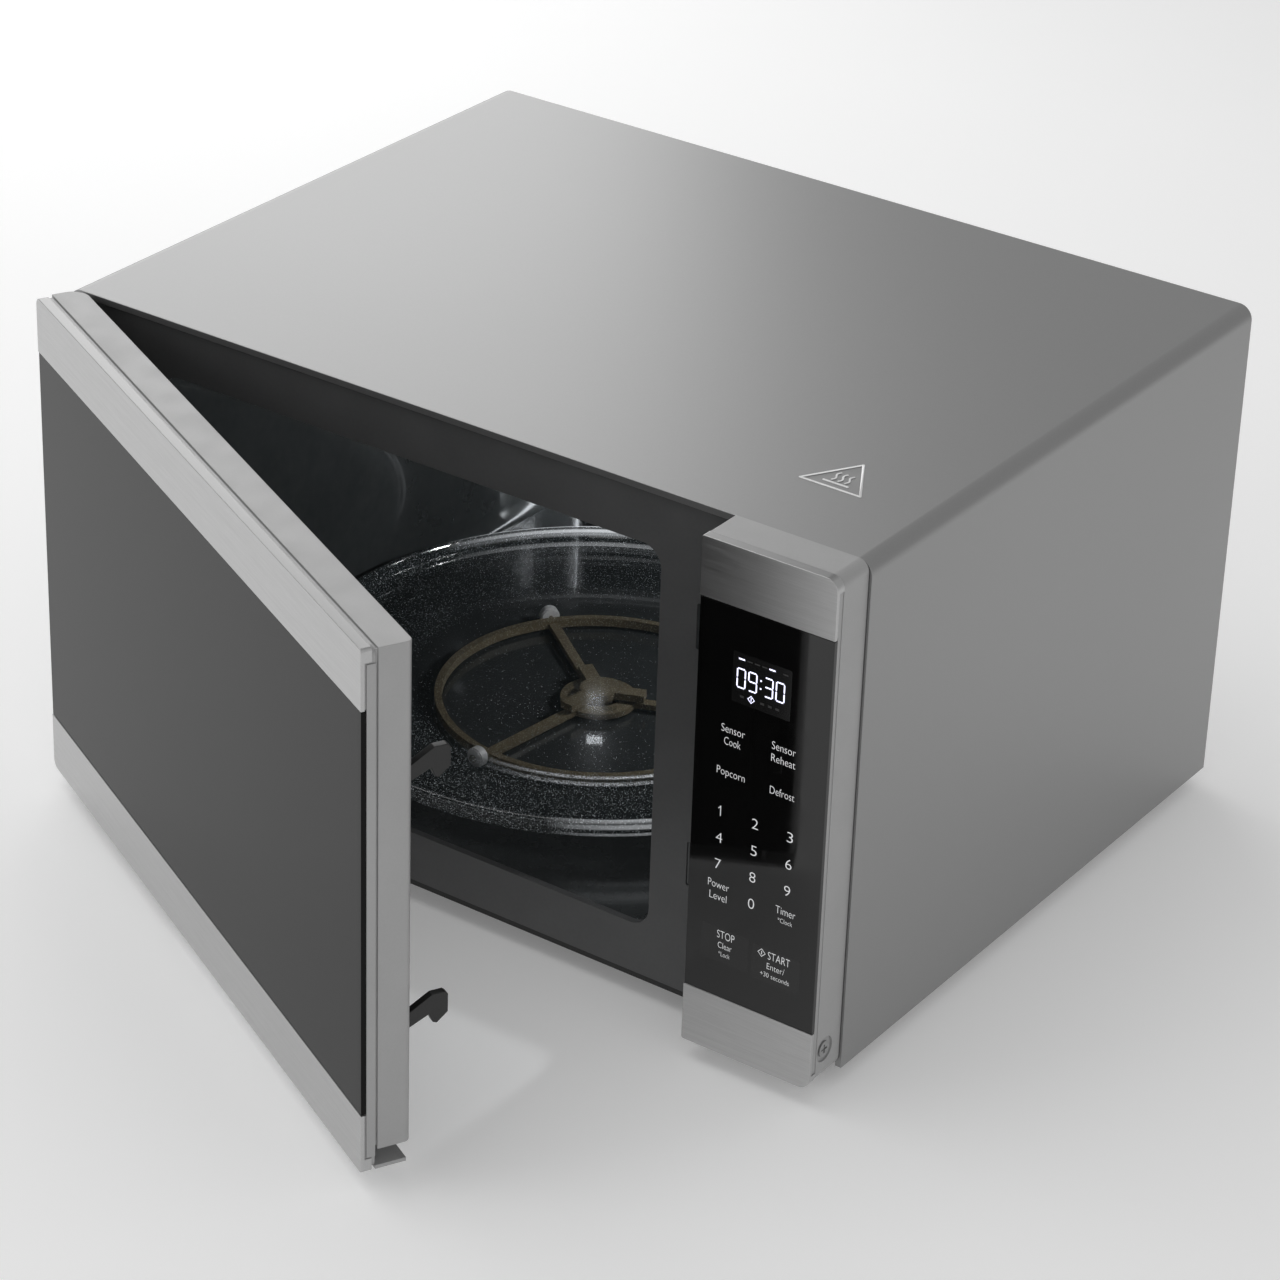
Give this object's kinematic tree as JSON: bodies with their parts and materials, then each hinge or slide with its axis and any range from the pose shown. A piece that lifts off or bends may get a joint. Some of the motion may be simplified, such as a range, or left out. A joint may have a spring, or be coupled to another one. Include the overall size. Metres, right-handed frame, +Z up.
{
  "type": "microwave oven",
  "caption": "Countertop microwave oven with a left-hung glass door without a handle, steel strips, touch panel and a glass turntable in a dark cavity.",
  "frame": {"origin": "on the surface that the feet stand on, under the middle of the cabinet's footprint; the base pad's centre is 4.5 mm above it", "axes": "+X to the right seen from the front, +Y to the back, +Z up"},
  "size_m": [0.6108, 0.728, 0.356],
  "materials": {
    "cabinet_paint": "satin silver-grey paint",
    "steel_strip": "brushed, grain along the width",
    "grey_plastic": "silver-grey painted plastic",
    "black_plastic": "matt black",
    "front_plate_paint": "dark grey satin paint",
    "enamel": "dark glossy enamel",
    "galvanised": "galvanised sheet",
    "base_paint": "black paint",
    "door_glass": "dark mirrored glass with a black border",
    "panel_glass": "black touch glass",
    "tray_glass": "speckled clear glass",
    "window_film": "tinted window",
    "screen": "perforated sheet, black",
    "rubber": "matt",
    "tan_plastic": "heat-proof tan plastic",
    "white_plastic": "white nylon",
    "mica": "mica",
    "bare_steel": "plated steel",
    "aluminium": "bare",
    "copper_tube": "copper",
    "circuit_board": "green circuit board",
    "ivory_plastic": "ivory moulding",
    "display": "display module",
    "spring_steel": "spring wire"
  },
  "bodies": {
    "chassis": {"outer_cabinet": "cabinet_paint", "rear_panel": "galvanised", "wall_spacers": "black_plastic", "cord_bushing": "black_plastic", "base_plate": "base_paint", "feet": "rubber", "cavity_floor": "enamel", "cavity_liner": "enamel", "front_plate": "front_plate_paint", "waveguide_cover": "mica", "waveguide": "galvanised", "magnetron_yoke": "galvanised", "magnetron_tube": "copper_tube", "magnetron_fins": "aluminium", "magnetron_filter_box": "galvanised", "inverter_board": "circuit_board", "inverter_transformer": "bare_steel", "inverter_heat_sink": "aluminium", "inverter_capacitors": "black_plastic", "noise_filter_board": "circuit_board", "fan_housing": "ivory_plastic", "fan_motor": "bare_steel", "air_guide": "ivory_plastic", "cavity_lamp": "ivory_plastic", "thermal_cutout": "ivory_plastic", "humidity_sensor": "ivory_plastic", "turntable_motor": "galvanised", "interlock_bracket": "ivory_plastic", "interlock_switches": "black_plastic", "upper_hinge": "bare_steel", "lower_hinge": "bare_steel", "hinge_screws": "bare_steel", "panel_frame": "grey_plastic", "panel_glass": "panel_glass", "panel_top_strip": "steel_strip", "panel_bottom_strip": "steel_strip", "control_board": "circuit_board", "display_module": "display", "panel_screw": "bare_steel", "cabinet_screws": "bare_steel"},
    "door": {"door_frame": "grey_plastic", "door_inner_cover": "grey_plastic", "door_choke_plate": "screen", "door_inner_window": "window_film", "door_glass": "door_glass", "door_top_strip": "steel_strip", "door_bottom_strip": "steel_strip"},
    "latch": {"latch_key": "black_plastic", "latch_spring": "spring_steel"},
    "turntable": {"turntable_shaft": "bare_steel", "drive_coupler": "tan_plastic", "glass_tray": "tray_glass"},
    "ring": {"roller_ring": "tan_plastic"},
    "wheel_1": {"roller_1": "white_plastic"},
    "wheel_2": {"roller_2": "white_plastic"},
    "wheel_3": {"roller_3": "white_plastic"},
    "fan": {"fan_shaft": "bare_steel", "fan_blade": "ivory_plastic"},
    "lever": {"interlock_lever": "ivory_plastic"}
  },
  "joints": [
    {"name": "door_hinge", "type": "hinge", "parent": "chassis", "child": "door", "pos_m": [-0.29, -0.2455, 0.18], "axis": [0, 0, -1], "range_deg": [-27.5, 77.5]},
    {"name": "latch_slide", "type": "slide", "parent": "door", "child": "latch", "axis": [0, 0, 1], "range_m": [0, 0.004], "stiffness_N_per_m": 400, "springref_m": -0.003, "deforming": ["latch_spring"]},
    {"name": "turntable_spin", "type": "hinge", "parent": "chassis", "child": "turntable", "pos_m": [-0.036, -0.00885, 0.05], "axis": [0, 0, 1], "continuous": true},
    {"name": "ring_spin", "type": "hinge", "parent": "chassis", "child": "ring", "pos_m": [-0.036, -0.00885, 0.05], "axis": [0, 0, 1], "continuous": true},
    {"name": "roller_1_roll", "type": "hinge", "parent": "ring", "child": "wheel_1", "pos_m": [-0.12944, 0.06156, 0.054], "axis": [-0.7986, 0.6018, 0], "continuous": true},
    {"name": "roller_2_roll", "type": "hinge", "parent": "ring", "child": "wheel_2", "pos_m": [-0.05026, -0.12498, 0.054], "axis": [-0.1219, -0.9925, 0], "continuous": true},
    {"name": "roller_3_roll", "type": "hinge", "parent": "ring", "child": "wheel_3", "pos_m": [0.0717, 0.03687, 0.054], "axis": [0.9205, 0.3907, 0], "continuous": true},
    {"name": "fan_spin", "type": "hinge", "parent": "chassis", "child": "fan", "pos_m": [0.2404, 0.2097, 0.193], "axis": [0, 1, 0], "continuous": true},
    {"name": "lever_rock", "type": "hinge", "parent": "chassis", "child": "lever", "pos_m": [0.207, -0.1977, 0.196], "axis": [1, 0, 0], "range_deg": [0, 8], "stiffness_Nm_per_rad": 0.05, "springref_deg": -8.59}
  ],
  "couplings": [
    {"joint": "ring_spin", "follows": "turntable_spin", "ratio": 0.5},
    {"joint": "roller_1_roll", "follows": "turntable_spin", "ratio": -8.6029},
    {"joint": "roller_2_roll", "follows": "turntable_spin", "ratio": -8.6029},
    {"joint": "roller_3_roll", "follows": "turntable_spin", "ratio": -8.6029}
  ]
}
